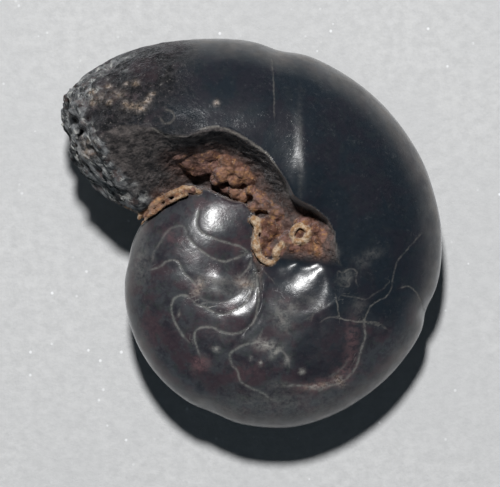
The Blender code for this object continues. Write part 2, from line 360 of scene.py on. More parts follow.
# matrix: centre on the plan grid, height of its top above the mid-plane, radius in plan, half height
LUMPS = (
    (222, 174, 47, 8.5, 9), (231, 165, 50, 9.5, 10), (242, 171, 50, 9, 10), (250, 179, 46, 7.5, 9), (226, 161, 49, 7, 8), (215, 180, 38, 5.5, 7),
    (236, 181, 45, 7, 8), (207, 161, 43, 13, 8), (209, 150, 50, 11, 7), (197, 163, 40, 13, 8), (188, 157, 44, 12, 7), (179, 151, 52, 10, 6), (199, 152, 48, 12, 7),
    (235, 192, 36, 7, 8), (243, 197, 34, 5.5, 7), (225, 188, 28, 5, 6), (251, 190, 42, 6, 7),
    (260, 198, 46, 7.5, 9), (254, 207, 42, 5.5, 8), (266, 206, 49, 6.5, 9), (276, 214, 54, 8, 10), (270, 222, 52, 6.5, 8),
    (262, 225, 49, 6.5, 9), (267, 235, 50, 7.5, 8), (275, 229, 52, 7, 8), (263, 243, 48, 6, 8), (281, 251, 53, 7.5, 8), (284, 240, 54, 6, 7),
    (268, 251, 45, 6, 6), (289, 236, 58, 5.5, 6), (299, 233, 57, 7, 6), (316, 229, 64, 7.5, 8), (325, 234, 64, 6.5, 7), (319, 241, 64, 7, 7),
    (146, 215, 24, 3.5, 6), (152, 211, 26, 3.2, 6), (160, 206, 29, 3.6, 6), (168, 201, 32, 3.2, 6), (177, 196, 34, 3.8, 6), (185, 192, 35, 3.2, 6), (193, 190, 35, 3.4, 6),
    (309, 238, 62, 6, 7), (294, 246, 59, 8, 7), (308, 248, 61, 7.5, 6), (319, 250, 63, 6, 5), (302, 222, 56, 6, 6), (311, 220, 58, 5, 6),
)
# raised pale rims of the matrix: path with heights, radius of the rim
RIMS = (
    (((254, 219, 50), (257.5, 227, 51), (255.8, 237, 50), (256.8, 249, 49), (262.3, 259, 50), (270, 263, 51), (275.3, 259.5, 52.5), (276.3, 252, 54), (282, 244, 56)), 3.1),
    (((299.5, 225.5, 63), (305.5, 228.5, 64), (307.5, 234.5, 64), (304, 240.5, 63), (298, 241.5, 62), (292.8, 237.5, 61), (293.5, 230, 62), (299.5, 225.5, 63)), 3.0),
)
CRUST = (
    (((139, 218, 19), (142, 212.5, 21.5), (149, 208, 26.5), (158, 202, 29), (167, 196, 31), (176, 191.5, 33), (184, 188, 34), (191, 187.5, 34), (199, 192, 34)), 2.7),
    (((141, 225, 19), (145, 220, 23), (151, 214.5, 27), (159, 209, 30), (168, 203.5, 33), (177, 198.5, 35), (186, 194.5, 36)), 1.8),
)


def base_rim(t):
    return R_REF * np.exp(GROWTH * np.radians(t - ANGLE_REF))


def neck(t):
    n = np.ones_like(t)
    for at, depth, half in NECKS:
        n *= 1.0 - depth * np.exp(-(((t - at) / half) ** 2))
    return n


def tube(q, start, end, cut=None):
    """Distance to the coiled tube between two angles, and the coil angle there."""
    r = np.hypot(q[:, 0], q[:, 1])
    bearing = np.degrees(np.arctan2(q[:, 1], q[:, 0])) % 360.0
    best = np.full(len(r), 3.0)
    angle = np.zeros(len(r))
    for sign, offset in ((1, 0.0), (-1, 180.0)):
        for turn in (0.0, 360.0):
            t = (bearing + offset) % 360.0 + turn
            i = np.nonzero((t >= start) & (t <= end) & ((sign > 0) | (r < 3.2)))[0]
            if not len(i):
                continue
            rim = base_rim(t[i])
            x = sign * r[i] - MID_LINE * rim
            z = np.abs(q[i, 2])
            out = x > 0
            a = np.where(out, (REACH_RIM * neck(t[i]) - MID_LINE) * rim, REACH_IN * rim)
            power = np.where(out, ROUND_OUT, ROUND_IN)
            b = HALF_WIDTH * rim
            xa, zb = np.abs(x) / a, z / b
            n = np.maximum((xa ** power + zb ** power) ** (1.0 / power), 0.25)
            slope = n ** (1.0 - power) * np.hypot(xa ** (power - 1.0) / a, zb ** (power - 1.0) / b)
            d = (n - 1.0) / np.maximum(slope, 1e-6)
            d = np.clip(d, -3.0, 3.0)
            if cut is not None and turn > 0:
                d = np.where(t[i] > 430.0, smax(d, cut[i], 0.35), d)
            m = d < best[i]
            best[i[m]] = d[m]
            angle[i[m]] = t[i[m]]
    return best, angle


def break_distance(q):
    """Distance beyond the broken end, with its torn layers."""
    d = np.full(len(q), -9.0)
    for (x, y), azimuth, lean in BREAK:
        a, l = math.radians(azimuth), math.radians(lean)
        d = smax(d, (q[:, 0] - x) * math.cos(l) * math.cos(a) + (q[:, 1] - y) * math.cos(l) * math.sin(a) + q[:, 2] * math.sin(l), 0.9)
    return d


class Relief:
    """What the plan grid adds to the near side."""

    def __init__(self):
        u, v = Plan.grid()
        cu, cv = u[::4, ::4], v[::4, ::4]
        floor = thin_plate(FLOOR + SHOULDER + OPEN_SKY, cu, cv)
        edge = polygon_distance(cu, cv, np.array(MISSING, float))
        ball = polygon_distance(cu, cv, smooth_line(BALL_FACE, 3, True))
        soft = ease(251, 262, cv - 0.10 * (cu - 290)) * np.maximum(ease(257, 265, cu), ease(284, 294, cv))
        # the broken wall under the shell's edge slopes
        floor = floor + 9.0 * ease(-15, 1, edge) * ease(290, 272, cu) * ease(150, 185, cu + 0.5 * (cv - 140)) * (1 - soft)
        height = floor + 6.0 * (1 - soft) * np.maximum(edge, 0) + 1.2 * soft * np.maximum(edge - 5, 0)
        over = 3.0 + (height - 3.0) * ease(-2.5, 1.5, ball)
        over = np.clip(over, 0, 160) * UNIT
        gu, gv = np.gradient(over, 2.0 * UNIT)
        self.steep = self.fine(np.sqrt(1 + gu * gu + gv * gv))
        self.height = self.fine(over)
        under = height + 14.0 * np.maximum(1.0 - ball, 0)
        under = np.clip(under, 0, 160) * UNIT
        gu, gv = np.gradient(under, 2.0 * UNIT)
        self.steep_all = self.fine(np.sqrt(1 + gu * gu + gv * gv))
        self.height_all = self.fine(under)
        self.soft = self.fine(soft)
        self.edge = self.fine(edge)
        self.ball = self.fine(ball)
        sd, strength = nearest_line(u, v, SUTURE_LINES, 14.0)
        d = np.abs(sd)
        on_ball = ease(0, 12, -polygon_distance(cu, cv, np.array(CHAMBERS, float)))
        on_ball = self.fine(on_ball)(u, v) * (1 - 0.85 * blob(u, v, 199, 222, 12, 26)) * (1 - 0.6 * blob(u, v, 240, 291, 16, 7, -25))
        relief = 0.022 * (1 - np.exp(-((d / 6.0) ** 2))) * on_ball
        relief -= 0.012 * np.exp(-((d / 1.6) ** 2)) * np.minimum(strength, 1)
        relief *= 1 - np.minimum(1.6 * blob(u, v, 252.5, 262, 9, 10), 1.0)
        cd, cs = nearest_line(u, v, CRACK_LINES, 14.0)
        relief -= 0.022 * np.exp(-((cd / 1.2) ** 2)) * cs
        for u0, v0, r, deep in PITS:
            relief -= deep * blob(u, v, u0, v0, r)
        fd, fs, fa = line_distance(u, v, smooth_line(CREASE))
        relief -= 0.06 * np.exp(-((fd / 4.0) ** 2)) * ease(0, .2, fa) * ease(0, .35, 1 - fa)
        gd, gs, ga = line_distance(u, v, smooth_line(GROOVE))
        gx = gd * gs
        fade = ease(0, .25, ga) * ease(0, .1, 1 - ga)
        # a shallow neck: the flank climbs out of it to the right in a narrow lip
        relief += 0.075 * ease(-7.0, 7.0, gx) * np.exp(-(np.maximum(gx - 6.0, 0) / 30.0) ** 2) * fade
        for u0, v0, ru, rv, turn, up in SWELLS:
            relief += up * blob(u, v, u0, v0, ru, rv, turn)
        self.relief = Plan(relief)

    @staticmethod
    def fine(coarse):
        """Back to the full grid from every fourth node."""
        rows = np.arange(Plan.NU) / 4.0
        cols = np.arange(Plan.NV) / 4.0
        i = np.minimum(rows.astype(int), coarse.shape[0] - 2)
        j = np.minimum(cols.astype(int), coarse.shape[1] - 2)
        fx, fy = (rows - i)[:, None], (cols - j)[None]
        g = coarse
        full = (g[i][:, j] * (1 - fx) + g[i + 1][:, j] * fx) * (1 - fy) + (g[i][:, j + 1] * (1 - fx) + g[i + 1][:, j + 1] * fx) * fy
        return Plan(full)


OPEN_SKY = (
    (365, 235, 100), (365, 290, 96), (340, 325, 92), (300, 350, 92), (255, 345, 70), (240, 360, 66), (350, 200, 110), (330, 190, 105), (310, 185, 80),
    (60, 100, 110), (70, 180, 90), (90, 220, 60), (110, 100, 120), (160, 100, 120), (220, 100, 120), (270, 120, 120), (300, 150, 120),
    (130, 260, 40), (150, 350, 40), (200, 300, 40),
)
CHAMBERS = (
    (188, 262), (197, 236), (199, 190), (230, 200), (255, 215), (258, 240), (256, 262), (262, 285), (264, 315), (285, 330), (320, 322), (352, 318), (372, 330), (372, 352), (360, 376),
    (340, 392), (315, 400), (280, 404), (245, 396), (215, 380), (190, 362), (165, 340), (150, 310), (146, 285), (160, 270),
)
SWELLS = (
    # u, v, radii, turn, height in mm
    (229, 234, 18, 13, 10, 0.09), (223, 279, 13, 8, 0, 0.10), (217, 292.5, 10, 6, 0, 0.055), (236, 316, 9, 6.5, -10, 0.06), (240, 285, 14, 9, -15, 0.03), 
    (307, 190, 17, 42, 0, 0.30), (285, 372, 30, 20, 10, 0.05), (330, 345, 26, 20, 0, 0.06), (160, 290, 16, 20, 0, 0.03), (433, 313, 11, 9, 0, -0.45), (202, 408, 9, 7, 0, -0.22),
)


def matrix_distance(q, u, v):
    """Distance to the lumps of matrix and their pale rims."""
    h = q[:, 2]
    body = np.full(len(q), 9.0)
    rim = np.full(len(q), 9.0)
    for cu, cv, top, r, half in LUMPS:
        m = (np.abs(u - cu) < r + 22) & (np.abs(v - cv) < r + 22)
        if not m.any():
            continue
        rr, hh = r * UNIT, half * UNIT
        x, y, z = (u[m] - cu) * UNIT, (v[m] - cv) * UNIT, h[m] - (top - half) * UNIT
        z = np.where(z < 0, z * 0.35, z)
        n = np.sqrt((x * x + y * y) / rr ** 2 + z * z / hh ** 2)
        g = np.sqrt((x * x + y * y) / rr ** 4 + z * z / hh ** 4) / np.maximum(n, 1e-6)
        body[m] = smin(body[m], (n - 1) / np.maximum(g, 0.6), 0.16)
    for path, r in RIMS + CRUST:
        line = smooth_line(path, 4)
        m = (u > line[:, 0].min() - 18) & (u < line[:, 0].max() + 18) & (v > line[:, 1].min() - 18) & (v < line[:, 1].max() + 18)
        if not m.any():
            continue
        d, _, along = line_distance(u[m], v[m], line[:, :2])
        seg = np.hypot(*(line[1:, :2] - line[:-1, :2]).T)
        run = np.concatenate(([0.0], np.cumsum(seg)))
        top = np.interp(along * run[-1], run, line[:, 2]) - 0.8
        z = h[m] - (top - r) * UNIT
        z = np.where(z < 0, z * 0.4, z)
        rim[m] = np.minimum(rim[m], np.hypot(d * UNIT, z) - r * UNIT * (0.88 + 0.62 * value_noise(q[m], 0.48, 5) + 0.25 * value_noise(q[m], 1.1, 2)))
    return body, rim


def field(p, relief, parts=False):
    """Negative inside the fossil. With parts, also what each place is made of."""
    q = (p - SHELL_AT) @ LEAN_M
    u, v = to_plan(p)
    near = ease(-0.6, 1.6, q[:, 2])
    torn = break_distance(q)
    end = ease(-2.6, -5.2, q[:, 0]) * ease(0.6, 2.2, q[:, 1])
    i = np.nonzero((np.abs(torn) < 1.3) & (end > 0))[0]
    ragged = np.zeros(len(p))
    if len(i):
        ragged[i] = end[i] * tear(q[i])
    torn = torn + ragged
    ball, ball_angle = tube(q, *INNER)
    outer, outer_angle = tube(q, *OUTER, cut=torn)
    up = relief.relief(u, v) * near + 0.018 * value_noise(q, 1.9, 1) + 0.0035 * value_noise(q, 0.55, 2)
    # the broken floor of the trough
    height = relief.height(u, v)
    missing = (q[:, 2] - height) / relief.steep(u, v)
    rough = np.zeros(len(p))
    i = np.nonzero((np.abs(missing) < 0.9) & (relief.edge(u, v) < 6) & (relief.ball(u, v) > -4))[0]
    if len(i):
        w = (1 - relief.soft(u[i], v[i])) * ease(3, -4, relief.edge(u[i], v[i]))
        rough[i] = w * (0.10 * fractal(q[i], 0.75, 3, 2) + 0.045 * value_noise(q[i], 0.22, 4))
    width = 0.08 + 0.30 * relief.soft(u, v) * ease(9, -5, relief.edge(u, v))
    worn = outer - up
    # pitted dull surface next to the broken end
    i = np.nonzero((np.abs(worn) < 0.6) & (torn > -3.6) & (end > 0))[0]
    pitted = np.zeros(len(p))
    if len(i):
        w = end[i] * ease(-3.6, -0.6, torn[i] + 0.5 * value_noise(q[i], 1.3, 1))
        pitted[i] = w * (0.05 * fractal(q[i], 0.55, 3, 0) - 0.05 * ease(0.15, 0.6, value_noise(q[i], 0.33, 3)))
    worn = worn - pitted
    cut = smax(worn, missing + rough, width)
    under = (q[:, 2] - relief.height_all(u, v)) / relief.steep_all(u, v) + rough
    body = smax(ball - up, under, width)
    # the seam between whorls is rounded; where both tubes are the same one, it isn't
    # the axis itself, where the coils meet in a point, is worn smooth
    pole = np.minimum(1.8 * blob(u, v, 252, 263, 7, 9), 1.0) * (q[:, 2] > 0)
    mould = smin(cut, body, np.where(outer_angle > 395.0, 0.06, 1e-4))
    mould = mould + (q[:, 2] - (42.6 + 0.05 * (v - 261)) * UNIT - mould) * pole
    lumps, rims = np.full(len(p), 9.0), np.full(len(p), 9.0)
    i = np.nonzero((u > 125) & (u < 345) & (v > 130) & (v < 285) & (q[:, 2] > 0.2) & (np.abs(mould) < 2.2))[0]
    if len(i):
        a, b = matrix_distance(q[i], u[i], v[i])
        k = np.nonzero(np.minimum(a, b) < 0.8)[0]
        grain = np.zeros(len(i))
        if len(k):
            j = i[k]
            one, two = cells(q[j], 0.52)
            grain[k] = 0.13 * (0.55 - one) + 0.05 * fractal(q[j], 0.3, 2, 1)
        lumps[i] = a - grain
        rims[i] = b - 0.8 * grain
    matter = smin(lumps, rims, 0.05)
    f = smin(mould, matter, 0.05)
    f = smax(f, -p[:, 2], 0.05)
    if not parts:
        return f
    return {
        "f": f, "q": q, "u": u, "v": v, "near": near, "torn": torn, "ragged": ragged, "ball": body, "outer": worn, "missing": missing + rough,
        "end": end, "pitted": pitted, "cut": cut, "mould": mould, "lumps": lumps, "rims": rims, "ball_angle": ball_angle, "outer_angle": outer_angle, "rough": rough,
    }


def tear(q):
    """Relief of the broken end: thin torn layers that run along it, and scales."""
    # along: round the end, as seen from above; up: across the layers
    along = q[:, 0] * 0.62 - q[:, 1] * 0.78
    layers = np.stack((along / 3.2, q[:, 2] + 0.28 * value_noise(q, 1.6, 2) + 0.16 * along, (q[:, 0] + q[:, 1]) / 1.6), 1)
    a = value_noise(layers, 0.55, 0)
    b = value_noise(layers, 0.19, 3)
    chips = value_noise(q, 0.9, 5)
    ridge = 1 - np.abs(a)
    return -0.30 * (ridge - 0.6) - 0.09 * b - 0.28 * chips + 0.05 * value_noise(q, 0.2, 1)
def steps(zones, lo, hi):
    """Grid coordinates from lo to hi: each zone (end, spacing) runs on from the last."""
    out = [lo]
    for end, h in zones:
        n = max(1, int(round((end - out[-1]) / h)))
        out.extend(np.linspace(out[-1], end, n + 1)[1:])
    return np.array(out)


def surface_net(fn, xs, ys, zs):
    """Closed surface fn = 0 on a graded grid: vertices and quads, by dual contouring of the cell centres."""
    nx, ny, nz = len(xs), len(ys), len(zs)
    # coarse look, then only the blocks that can hold the surface
    B = 6
    cx, cy, cz = [np.append(np.arange(0, n - 1, B), n - 1) for n in (nx, ny, nz)]
    X, Y, Z = np.meshgrid(xs[cx], ys[cy], zs[cz], indexing="ij")
    coarse = fn(np.stack((X.ravel(), Y.ravel(), Z.ravel()), 1)).reshape(X.shape)
    F = np.empty((nx, ny, nz), np.float32)
    sign = np.where(coarse < 0, -1.0, 1.0).astype(np.float32)
    need = np.zeros((nx, ny, nz), bool)
    for i in range(len(cx) - 1):
        for j in range(len(cy) - 1):
            for k in range(len(cz) - 1):
                c = coarse[i:i + 2, j:j + 2, k:k + 2]
                reach = 0.75 * math.sqrt((xs[cx[i + 1]] - xs[cx[i]]) ** 2 + (ys[cy[j + 1]] - ys[cy[j]]) ** 2 + (zs[cz[k + 1]] - zs[cz[k]]) ** 2) + 0.35
                box = (slice(cx[i], cx[i + 1] + 1), slice(cy[j], cy[j + 1] + 1), slice(cz[k], cz[k + 1] + 1))
                if np.abs(c).min() < reach or (c.min() < 0) != (c.max() < 0):
                    need[box] = True
                else:
                    F[box] = sign[i, j, k]
    ii, jj, kk = np.nonzero(need)
    P = np.stack((xs[ii], ys[jj], zs[kk]), 1)
    vals = np.empty(len(P), np.float32)
    for s in range(0, len(P), 400000):
        vals[s:s + 400000] = fn(P[s:s + 400000])
    F[ii, jj, kk] = vals
    F[np.abs(F) < 1e-7] = 1e-7
    S = F < 0
    S8 = [S[a:nx - 1 + a, b:ny - 1 + b, c:nz - 1 + c] for a in (0, 1) for b in (0, 1) for c in (0, 1)]
    count = sum(s.astype(np.int8) for s in S8)
    active = (count > 0) & (count < 8)
    ai, aj, ak = np.nonzero(active)
    index = np.full(active.shape, -1, np.int64)
    index[ai, aj, ak] = np.arange(len(ai))
    total = np.zeros((len(ai), 3))
    number = np.zeros(len(ai))
    corner = [(a, b, c) for a in (0, 1) for b in (0, 1) for c in (0, 1)]
    for a in range(8):
        for axis in range(3):
            if corner[a][axis]:
                continue
            b = list(corner[a])
            b[axis] = 1
            fa = F[ai + corner[a][0], aj + corner[a][1], ak + corner[a][2]].astype(np.float64)
            fb = F[ai + b[0], aj + b[1], ak + b[2]].astype(np.float64)
            m = (fa < 0) != (fb < 0)
            t = np.where(m, fa / np.where(m, fa - fb, 1.0), 0.0)
            pos = np.stack((
                xs[ai + corner[a][0]] + (t * (xs[ai + b[0]] - xs[ai + corner[a][0]]) if axis == 0 else 0.0),
                ys[aj + corner[a][1]] + (t * (ys[aj + b[1]] - ys[aj + corner[a][1]]) if axis == 1 else 0.0),
                zs[ak + corner[a][2]] + (t * (zs[ak + b[2]] - zs[ak + corner[a][2]]) if axis == 2 else 0.0),
            ), 1)
            total += pos * m[:, None]
            number += m
    verts = total / number[:, None]
    quads = []
    for axis in range(3):
        lo = [slice(1, -1)] * 3
        hi = [slice(1, -1)] * 3
        lo[axis] = slice(0, -1)
        hi[axis] = slice(1, None)
        s0, s1 = S[tuple(lo)], S[tuple(hi)]
        e = np.nonzero(s0 != s1)
        flip = s0[e]
        base = [e[0] + 1, e[1] + 1, e[2] + 1]
        base[axis] = e[axis]
        o1, o2 = [x for x in range(3) if x != axis]
        def cell(d1, d2):
            c = [base[0].copy(), base[1].copy(), base[2].copy()]
            c[o1] -= d1
            c[o2] -= d2
            return index[c[0], c[1], c[2]]
        q = np.stack((cell(1, 1), cell(0, 1), cell(0, 0), cell(1, 0)), 1)
        if axis == 1:
            flip = ~flip
        q[~flip] = q[~flip][:, ::-1]
        quads.append(q)
    return verts, np.concatenate(quads)


def onto_surface(fn, verts, rounds=2, h=0.012, most=0.12):
    """Move the vertices onto the surface along its gradient."""
    for _ in range(rounds):
        f0 = fn(verts)
        g = np.stack([(fn(verts + h * e) - fn(verts - h * e)) / (2 * h) for e in np.eye(3)], 1)
        step = (f0 / np.maximum((g * g).sum(1), 0.05))[:, None] * g
        length = np.linalg.norm(step, axis=1, keepdims=True)
        verts = verts - step * np.minimum(1.0, most / np.maximum(length, 1e-9))
    return verts, g
# ---------------------------------------------------------------------------
# The mesh
# ---------------------------------------------------------------------------
def paint(parts, verts, normals):
    """Masks and line distances at the vertices, for the material."""
    q, u, v, near = parts["q"], parts["u"], parts["v"], parts["near"]
    n = len(verts)
    f = {}
    matter = np.minimum(parts["lumps"], parts["rims"])
    orange = ease(0.10, -0.02, matter - parts["mould"])
    f["matrix"] = orange * (1 - 0.40 * blob(u, v, 190, 154, 20, 14)) * (1 - 0.35 * blob(u, v, 270, 207, 15, 11))
    f["pale_rim"] = (1 - 0.80 * blob(u, v, 158, 206, 26, 20)) * orange * ease(0.06, -0.03, parts["rims"] - parts["lumps"])
    # dull floor of the trough
    on_floor = ease(-0.10, 0.02, parts["cut"] - parts["outer"]) * ease(0.05, -0.05, parts["cut"] - parts["ball"])
    hollow = ease(1.0, -2.0, RELIEF.edge(u, v)) * ease(-1.5, 1.0, RELIEF.ball(u, v)) * (1 - RELIEF.soft(u, v))
    f["trough"] = near * hollow
    f["by_matrix"] = near * ease(1.1, 0.1, matter - parts["mould"]) * (1 - orange) * ease(-4.0, 0.0, RELIEF.ball(u, v))
    worn_edge = 0.7 * ease(26, 8, RELIEF.edge(u, v)) * ease(215, 180, u) * ease(215, 190, v + 0.3 * (u - 130)) * near
    ed, es = nearest_line(u, v, EDGE_AND_GLINT_LINES, 9.0)
    f["edge_and_glint_d"] = ed
    f["edge_and_glint_m"] = ease(4.6, 3.2, np.abs(ed)) * es * near * (1 - orange)
    f["film"] = film_mask(u, v, near)
    low = ease(135, 165, v - 0.55 * (u - 75))
    own = ease(0.0, 0.08, parts["ball"] - parts["cut"])
    # painted shade: the pale torn flakes are faded out round (131,191), beside the ball, where the end lies in shadow
    f["torn"] = (1 - 0.75 * blob(u, v, 131, 191, 14, 9)) * own * parts["end"] * ease(-0.45 - 1.0 * low, -0.05 - 0.5 * low, parts["torn"] + 0.25 * value_noise(q, 0.5, 4))
    grain = value_noise(q, 1.1, 2)
    f["dull"] = own * np.clip(np.maximum(parts["end"] * ease(-5.2, -1.4, parts["torn"] + 0.9 * grain), 0.85 * worn_edge), 0, 1)
    # suture lines: drawn ones near, ruled ones on the far side and the rim
    sd, strength = nearest_line(u, v, SUTURE_LINES, 9.0)
    show = near * ease(0.15, 0.45, normals[:, 2]) * (1 - orange)
    keep = ease(4.6, 3.2, np.abs(sd))
    f["suture_d"] = sd
    f["suture_m"] = keep * strength * show * (1 - f["trough"])
    cd, cs = nearest_line(u, v, CRACK_LINES, 9.0)
    f["crack_d"] = cd
    f["crack_m"] = ease(4.6, 3.2, np.abs(cd)) * cs * near * (1 - orange)
    fd, fm = far_sutures(parts)
    f["far_d"], f["far_m"] = fd, fm * ease(0.1, -0.25, normals[:, 2])
    # stains, worn spots, and among the pale marks some painted glints, highlights and reflections
    for name, spots in STAINS_AND_PAINTED_LIGHT.items():
        total = np.zeros(n)
        for u0, v0, ru, rv, turn, amount in spots:
            total = np.maximum(total, amount * blob(u, v, u0, v0, ru, rv, turn))
        f[name] = total * near
    # painted reflection: the steep slopes and the near-vertical band below them are lightened, most along the lower
    # rim, standing in for the floor's reflection at grazing angles
    steep = ease(0.78, 0.18, normals[:, 2]) * ease(-0.75, 0.2, normals[:, 2])
    f["painted_rim_reflection"] = ease(0.30, 0.10, normals[:, 2]) * ease(-0.25, 0.0, normals[:, 2]) * (1 - f["torn"]) * np.clip(0.6 + 0.5 * value_noise(q, 0.8, 3), 0, 1)
    # painted reflection: extra lightening of the near-vertical band at the lower-left, lower and right rims
    near_rim = np.minimum(blob(u, v, 158, 385, 42, 48) + blob(u, v, 255, 422, 70, 16) + 0.7 * blob(u, v, 420, 325, 12, 40), 1)
    f["painted_rim_reflection"] = np.clip(f["painted_rim_reflection"] + 0.45 * near_rim * ease(0.42, 0.16, normals[:, 2]) * ease(-0.25, 0.05, normals[:, 2]), 0, 1)
    f["rim"] = steep * np.clip(0.70 + 0.30 * value_noise(q, 1.1, 4) + 0.22 * value_noise(q, 0.35, 1), 0, 1) * (1 - f["torn"])
    f["sole"] = ease(0.25, 0.03, verts[:, 2])
    return f


def film_mask(u, v, near):
    """Where the grey patina is: the ball and the lower flank, less on the right."""
    ball = polygon_distance(u, v, smooth_line(PATINA, 3, True))
    dark = polygon_distance(u, v, smooth_line(DARK_FLANK, 3, True))
    return ease(14.0, -12.0, ball) * (0.35 + 0.65 * ease(-8.0, 4.0, dark)) * near


DARK_FLANK = ((366, 322), (364, 345), (352, 370), (335, 382), (312, 386), (296, 380), (292, 362), (296, 340), (306, 326), (322, 318), (345, 316))
PATINA = (
    (120, 205), (150, 200), (185, 184), (215, 190), (245, 202), (262, 225), (262, 262), (285, 300), (330, 318), (372, 322), (400, 330), (425, 300),
    (460, 300), (440, 380), (380, 440), (290, 470), (200, 440), (120, 370), (100, 290),
)


def far_sutures(parts):
    """Signed distance (plan units) to the septa's lines away from the camera side."""
    q = parts["q"]
    r = np.hypot(q[:, 0], q[:, 1])
    bearing = np.degrees(np.arctan2(q[:, 1], q[:, 0])) % 360.0
    angle = np.where(bearing < 150, bearing + 360.0, bearing)
    rim = base_rim(angle)
    s = (r - 0.08 * rim) / rim
    # saddles and lobes from the axis to the rim
    wave = 7.0 * np.sin(s * 9.5 - 0.6) * np.clip(1.25 - 0.4 * s, 0, 1) + 3.5 * np.cos(s * 15.0)
    space = 17.0
    t = (angle + wave) / space
    d = (t - np.round(t)) * space
    gap = np.radians(d) * np.maximum(r, 0.6) / UNIT
    fade = ease(415.0, 385.0, angle) * ease(0.3, 1.6, r)
    return np.clip(gap, -9, 9), ease(4.6, 3.2, np.abs(gap)) * fade


STAINS_AND_PAINTED_LIGHT = {
    "matte": (
        (170, 228, 24, 24, 0, 1.0), (188, 236, 8, 12, -30, 0.9), (238, 290, 12, 7, 20, 0.95), (204, 296, 9, 8, 0, 0.8), (168, 121, 30, 12, 0, 0.9), (212, 120, 30, 11, 0, 0.85),
        (250, 133, 20, 12, -30, 0.7), (302, 150, 8, 60, 2, 0.9), (185, 100, 26, 30, 0, 1.0), (200, 222, 8, 21, -12, 1.0), (190, 238, 6, 16, -35, 0.9), (242, 292, 15, 6, -25, 0.9), (252, 281, 8, 9, 0, 0.9),
        (232, 306, 8, 3.5, -10, 0.4), (292, 266, 18, 4, 0, 0.6), (330, 285, 9, 16, 0, 0.6), (312, 310, 22, 6, -14, 0.85), (327, 294, 6, 14, 0, 0.8), (228, 95, 42, 24, 0, 0.7), (262, 300, 3, 36, 0, 0.9), (252, 259, 10, 13, 0, 1.0), (200, 194, 9, 5, 0, 1.0), (284, 318, 14, 16, 0, 0.7), (225, 258, 16, 5, 0, 0.5), (150, 280, 14, 40, 0, 0.5),
    ),
    "red": (
        (201, 364, 9, 7, 20, 0.8), (196, 361, 4, 3, 0, 1.0), (320, 385, 22, 6, 12, 0.8), (345, 374, 9, 9, 0, 0.8), (231, 307, 4, 2.5, -20, 0.9),
        (352, 340, 7, 22, 0, 0.5), (328, 350, 24, 20, 0, 0.07), (180, 246, 22, 14, -20, 0.16), (205, 215, 20, 14, 0, 0.12), (150, 330, 12, 24, 0, 0.15), (352, 362, 7, 12, 20, 0.6), (245, 372, 16, 10, 0, 0.22), (215, 330, 20, 10, 0, 0.18), (172, 232, 12, 10, 0, 0.15), (285, 300, 6, 2, 10, 0.4), (195, 286, 4, 4, 0, 0.7), (238, 245, 6, 10, 0, 0.3),
        (203, 205, 16, 10, -20, 0.2), (95, 103, 13, 10, 0, 0.6), (125, 96, 16, 8, 0, 0.6), (88, 152, 8, 10, 0, 0.9), (172, 236, 14, 8, -30, 0.30), (112, 118, 14, 6, 0, 0.4),
    ),
    # pale marks, with painted light among them: glints at (146,124), (216,349.5) and (333,252); highlights along
    # (300,150), (257,290) and (310,300); reflections along the left rim at (140,260) and the lower rim at (275,405)
    "pale_marks_and_painted_light": (
        (266, 345, 12, 5, -10, 1.2), (276, 352, 9, 3, 40, 1.0), (286, 361, 5, 3, 60, 0.8), (359, 308, 8, 9, 0, 0.2), (346, 278, 8, 6, 30, 0.3), (372, 254, 10, 5, 20, 0.22), (362, 262, 8, 6, 0, 0.2), (275, 405, 75, 15, 2, 0.30), 
        (300, 150, 2.5, 46, 0, 0.20), (282, 318, 9, 14, 20, 0.6), (292, 308, 8, 7, 0, 0.5), (216, 281, 16, 5, 0, 0.55), (240, 281, 10, 6, -25, 0.6),
        (222, 291, 20, 5, 0, 0.35), (250.7, 357.4, 1.6, 1.6, 0, 1.2), (260.3, 363, 2.2, 2.2, 0, 1.3), (302, 371.5, 3, 2.4, 0, 1.2),
        (216, 349.5, 4.5, 2, -15, 1.2), (179, 313.5, 1.6, 1.6, 0, 1.2), (333, 252, 5, 4, 0, 0.7), (140, 260, 10, 30, 0, 0.3), (280, 385, 14, 5, 0, 0.3),
        (146, 124, 4, 4, 0, 0.5), (310, 300, 12, 6, -30, 0.25), (257, 290, 3, 18, 0, 0.25),
    ),
    "tan": (
        (92, 92, 3, 2.5, 0, 1.2), (109, 87, 3, 2.4, 0, 1.1), (126.5, 84, 2.4, 2, 0, 1.2), (135.5, 82.7, 3.4, 2.4, 0, 1.2), (93, 102.5, 2.6, 3, 0, 1.1),
        (109.5, 102, 2.6, 2.4, 0, 1.1), (125, 103, 2.8, 2.4, 0, 1.1), (140, 109, 5, 2.6, 10, 1.2), (147.5, 101, 2.6, 4.5, -35, 1.2), (152, 94, 2.6, 2, 0, 1.0),
        (118, 94, 6, 4, 0, 0.6), (100, 97, 6, 5, 0, 0.5), (132, 106, 8, 3, 10, 0.7), (216.5, 103, 2.6, 2.6, 0, 0.9), (87, 150, 8, 9, 0, 0.6),
        (200, 283, 4, 5, 0, 0.6), (245, 284, 8, 4, -20, 0.6), (197, 292, 5, 3, 0, 0.5), (318, 386, 12, 2.4, 8, 0.8), (339, 381, 6, 4, -40, 0.8),
    ),
}


